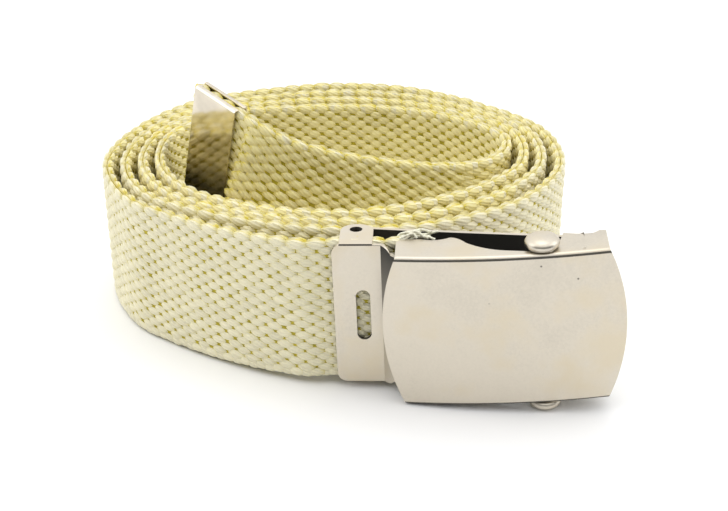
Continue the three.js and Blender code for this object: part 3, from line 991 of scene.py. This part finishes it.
class BELT_OT_face_plate(bpy.types.Operator):
    """Builds the bowed face plate with its two flanges"""

    bl_idname = "belt.face_plate"
    bl_label = "Face plate"

    def flange_edge(self):
        points = [(FLANGE_START["u"], FLANGE_START["v"])]
        for row in FLANGE_TO_POCKET:
            self.follow(points, row)
        radius = ROLLER["pocket"] / MM
        start, end = POCKET_SWEEP
        for part in shares(FACE_STEPS["pocket"]):
            turn = start + (end - start) * part
            points.append((ROLLER["u"] / MM + radius * math.cos(turn),
                           ROLLER["v"] / MM + radius * math.sin(turn)))
        for row in FLANGE_FROM_POCKET:
            self.follow(points, row)
        return [(u * MM, v * MM) for u, v in points]

    @staticmethod
    def follow(points, row):
        if "bend" in row:
            points.extend(bent(points[-1], row["bend"], (row["u"], row["v"])))
        else:
            points.append((row["u"], row["v"]))

    def execute(self, context):
        settings = context.scene.belt_buckle
        bow_radius = FACE_HALF_LENGTH ** 2 / (2 * FACE_BOW)
        arc_radius = (OUTER_HALF_HEIGHT ** 2 + FACE_END_ARC ** 2) / (2 * FACE_END_ARC)
        edge = self.flange_edge()

        def front(u):
            return u ** 2 / (2 * bow_radius) - FACE_BOW

        def rear(u):
            for (u0, v0), (u1, v1) in zip(edge, edge[1:]):
                if u0 <= u <= u1 and u1 > u0:
                    return v0 + (v1 - v0) * (u - u0) / (u1 - u0)
            return edge[-1][1] if u > 0 else edge[0][1]

        def half_length(z):
            return FACE_HALF_LENGTH + FACE_END_ARC - arc_radius + math.sqrt(
                arc_radius ** 2 - z ** 2)

        stations = sorted({u for u, _ in edge} | {
            FACE_HALF_LENGTH * (2 * part - 1) for part in shares(FACE_STEPS["along"])})
        high = OUTER_HALF_HEIGHT
        rings = []
        for station in stations:
            share = station / FACE_HALF_LENGTH
            flat = front(station) + FACE_FOLD
            back = max(rear(station), flat + SLIVER)
            upper = [(station, back + (flat - back) * part, high)
                     for part in shares(FACE_STEPS["flange"])[:-1]]
            for part in shares(FACE_STEPS["fold"]):
                turn = math.pi / 2 * part
                z = high - FACE_FOLD * (1 - math.cos(turn))
                u = share * half_length(z)
                upper.append((u, front(u) + FACE_FOLD * (1 - math.sin(turn)), z))
            middle = []
            for part in shares(FACE_STEPS["across"])[1:-1]:
                z = (high - FACE_FOLD) * (1 - 2 * part)
                u = share * half_length(z)
                middle.append((u, front(u), z))
            lower = [(u, v, -z) for u, v, z in reversed(upper)]
            rings.append([TO_FACE @ Vector(point) for point in upper + middle + lower])
        size = len(rings[0])
        vertices = [point for ring in rings for point in ring]
        faces = [(r * size + c, (r + 1) * size + c, (r + 1) * size + c + 1, r * size + c + 1)
                 for r in range(len(rings) - 1) for c in range(size - 1)]
        plate = new_mesh_object("face_plate", vertices, faces)
        wall = plate.modifiers.new("wall", "SOLIDIFY")
        wall.thickness = SHEET
        wall.offset = 1 if plate.data.polygons[len(faces) // 2].normal.y > 0 else -1
        applied(plate)
        outward(plate)
        rounded(plate, settings.edge_round)
        paint_shade_marks(plate, TO_FACE, painted_shade_of_face)
        dress(plate, worn_nickel(settings), "belt", "buckle_face")
        return {"FINISHED"}


class BELT_OT_clamp(bpy.types.Operator):
    """Builds the clamp plate, the back plate and the hinge pin"""

    bl_idname = "belt.clamp"
    bl_label = "Clamp and back plate"

    def execute(self, context):
        settings = context.scene.belt_buckle
        material = worn_nickel(settings)
        clamp = merged_copy("clamp_plate", "clamp_plate_finished")
        self.fold_ears(clamp)
        rounded(clamp, settings.edge_round)
        paint_shade_marks(clamp, TO_CLAMP, painted_shade_of_clamp)
        dress(clamp, material, "belt", "clamp_plate")
        back = merged_copy("back_plate", "back_plate_finished")
        rounded(back, settings.edge_round)
        paint_shade_marks(back, TO_CLAMP, painted_shade_of_back)
        dress(back, material, "belt", "back_plate")
        reach = OUTER_HALF_HEIGHT - HINGE["recess"]
        centre = 0.01 * MM
        pin = turned_piece("hinge_pin_finished", TO_CLAMP, HINGE, [
            (centre, -reach), (HINGE["pin"], -reach), (HINGE["pin"], reach), (centre, reach)])
        dress(pin, material, "belt", "hinge_pin")
        return {"FINISHED"}

    @staticmethod
    def fold_ears(clamp):
        """Bends the ears down towards the plate's edge, where its sheet folds into them."""
        back = TO_CLAMP.inverted()
        edge = WEB_WIDTH / 2
        lip = 0.3 * MM
        mesh = bmesh.new()
        mesh.from_mesh(clamp.data)
        bmesh.ops.bisect_plane(
            mesh, geom=[*mesh.verts, *mesh.edges, *mesh.faces],
            plane_co=TO_CLAMP @ Vector((0, 0, EAR_LINE)),
            plane_no=TO_CLAMP.to_3x3() @ Vector((0, 0, 1)))
        mesh.to_mesh(clamp.data)
        mesh.free()
        for vertex in clamp.data.vertices:
            place = back @ vertex.co
            if abs(place.z) < edge + SLIVER:
                continue
            way = 1 if place.z > 0 else -1
            high = abs(place.z) - EAR_DROP
            if place.y < CLAMP_FRONT + SHEET + 2 * SLIVER:
                high = min(high, edge + (lip if way > 0 else 0))
            place.y = CLAMP_FRONT + (place.y - CLAMP_FRONT) * EAR_SHARE
            place.z = way * high
            vertex.co = TO_CLAMP @ place
        clamp.data.update()


class BELT_OT_roller(bpy.types.Operator):
    """Turns the roller bar with its two domed heads"""

    bl_idname = "belt.roller"
    bl_label = "Roller bar"

    def execute(self, context):
        base = OUTER_HALF_HEIGHT + CLEARANCE
        head = ROLLER["head"]
        tall = ROLLER["half"] - base
        half = [(ROLLER["radius"], 0), (ROLLER["radius"], base), (head * 0.9, base)]
        start = -math.pi / 6
        for part in shares(14):
            turn = start + (math.pi / 2 - start) * part
            reach = math.cos(turn) ** 0.75 if part < 1 else 0.002
            rise = (math.sin(turn) - math.sin(start)) / (1 - math.sin(start))
            half.append((head * reach, base + tall * max(rise, 0.02)))
        profile = [(radius, -z) for radius, z in reversed(half[1:])] + half
        bar = turned_piece("roller_finished", TO_FACE, ROLLER, profile)
        nickel = worn_nickel(context.scene.belt_buckle)
        dress(bar, nickel, "roller", "roller_bar")
        return {"FINISHED"}


class BELT_OT_tip(bpy.types.Operator):
    """Builds the folded metal tip on the strap's inner end"""

    bl_idname = "belt.tip"
    bl_label = "Tip"

    def execute(self, context):
        settings = context.scene.belt_buckle
        _, down = across_strap(TIP_DIRECTION)
        across = (-down).cross(TIP_DIRECTION)
        start = TO_COIL @ (TIP_MOUTH + down * WEB_WIDTH / 2)
        flat = WEB_THICKNESS / 2 + CLEARANCE + TIP_WALL / 2
        high = WEB_WIDTH / 2 + CLEARANCE + TIP_WALL / 2
        fold = 0.35 * MM
        end = TIP_LENGTH - TIP_WALL / 2

        def at(along, out, up):
            return start + TIP_DIRECTION * along + across * out - down * up

        vertices = []
        faces = []
        for side in (-1, 1):
            half = [(side * (flat - TIP_LIP), high), (side * (flat - fold), high),
                    (side * flat, high - fold)]
            section = half + [(out, -up) for out, up in reversed(half)]
            first = len(vertices)
            vertices += [at(along, out, up) for along in (0, end) for out, up in section]
            size = len(section)
            faces += [(first + i, first + i + 1, first + size + i + 1, first + size + i)
                      for i in range(size - 1)]
        first = len(vertices)
        vertices += [at(end, out, up) for out, up in
                     ((-flat, high - fold), (flat, high - fold), (flat, fold - high),
                      (-flat, fold - high))]
        faces.append((first, first + 1, first + 2, first + 3))
        piece = new_mesh_object("tip_finished", vertices, faces)
        wall = piece.modifiers.new("wall", "SOLIDIFY")
        wall.thickness = TIP_WALL
        wall.offset = 0
        applied(piece)
        outward(piece)
        rounded(piece, settings.edge_round)
        dress(piece, polished_tip(settings), "belt", "belt_tip")
        return {"FINISHED"}


class BELT_OT_studio(bpy.types.Operator):
    """Sets the floor, the soft lights and the camera"""

    bl_idname = "belt.studio"
    bl_label = "Studio"

    def execute(self, context):
        settings = context.scene.belt_studio
        reach = 3.0
        floor = new_mesh_object(
            "studio_floor", [(-reach, -reach, 0), (reach, -reach, 0), (reach, reach, 0),
                             (-reach, reach, 0)], [(0, 1, 2, 3)])
        floor.location.z = -0.05 * MM
        floor.data.materials.append(studio_floor(settings))

        context.scene.view_settings.view_transform = "Standard"
        context.scene.world = self.surround(settings)
        self.soft_box("left", (-0.65, -0.1, 0.45), settings.key)
        self.soft_box("right", (0.65, -0.05, 0.45), settings.key)
        self.soft_box("top", (-0.05, 0.05, 0.9), settings.key)

        camera = bpy.data.cameras.new("camera")
        camera.sensor_width = SENSOR
        camera.lens = SENSOR * FOCAL_PIXELS / IMAGE_WIDTH
        camera.clip_start = 0.01
        viewer = linked("camera", camera)
        viewer.location = COIL_MIDDLE + CAMERA_PLACE
        viewer.rotation_euler = (math.pi / 2 - CAMERA_DROP, 0, 0)
        context.scene.camera = viewer
        return {"FINISHED"}

    @staticmethod
    def surround(settings):
        """A white room whose front wall, low behind the camera, is dark."""
        paint = Paint(bpy.data.worlds.new("studio"), "ShaderNodeOutputWorld")
        direction = paint.place.beside("Generated")

        def ranged(part, start, end, kind="SMOOTHSTEP"):
            value = paint.add("ShaderNodeSeparateXYZ", None, {0: direction}, part)
            return paint.add("ShaderNodeMapRange", {"interpolation_type": kind},
                             {"Value": value, "From Min": start, "From Max": end})

        dark = ranged("Y", -0.2, -0.45) * ranged("Z", 0.7, 0.5)
        wall = 1 - (1 - settings.front_wall) * dark
        light = settings.sky + (settings.ceiling - settings.sky) * ranged("Z", 0.3, 1, "LINEAR")
        return paint.finish("ShaderNodeBackground", {
            "Color": (1, 1, 1, 1), "Strength": wall * light})

    @staticmethod
    def soft_box(name, place, power):
        data = bpy.data.lights.new(name, "AREA")
        data.shape = "SQUARE"
        data.size = 0.5
        data.energy = power
        lamp = linked(name, data)
        lamp.location = place
        lamp.rotation_euler = (-Vector(place)).to_track_quat("-Z", "Y").to_euler()


class BELT_PT_panel(bpy.types.Panel):
    bl_idname = "BELT_PT_panel"
    bl_label = "Belt"
    bl_space_type = "VIEW_3D"
    bl_region_type = "UI"
    bl_category = "Belt"

    def draw(self, context):
        for group in ("belt_webbing", "belt_buckle", "belt_studio"):
            settings = getattr(context.scene, group)
            for name in settings.bl_rna.properties.keys():
                if name not in ("rna_type", "name"):
                    self.layout.prop(settings, name)
        for operator in OPERATORS:
            self.layout.operator(operator.bl_idname)


OPERATORS = (
    BELT_OT_studio, BELT_OT_strap, BELT_OT_yarns, BELT_OT_threads, BELT_OT_tip,
    BELT_OT_face_plate, BELT_OT_clamp, BELT_OT_roller)
SETTINGS = {"belt_webbing": WebbingSettings, "belt_buckle": BuckleSettings,
            "belt_studio": StudioSettings}


def register():
    for group in SETTINGS.values():
        bpy.utils.register_class(group)
    for name, group in SETTINGS.items():
        setattr(bpy.types.Scene, name, bpy.props.PointerProperty(type=group))
    for operator in OPERATORS:
        bpy.utils.register_class(operator)
    bpy.utils.register_class(BELT_PT_panel)


def unregister():
    bpy.utils.unregister_class(BELT_PT_panel)
    for operator in reversed(OPERATORS):
        bpy.utils.unregister_class(operator)
    for name, group in SETTINGS.items():
        delattr(bpy.types.Scene, name)
        bpy.utils.unregister_class(group)


def main():
    register()
    bpy.ops.belt.studio()
    bpy.ops.belt.strap()
    bpy.ops.belt.yarns()
    bpy.ops.belt.threads()
    bpy.ops.belt.tip()
    bpy.ops.belt.face_plate()
    bpy.ops.belt.clamp()
    bpy.ops.belt.roller()


if __name__ == "__main__":
    main()
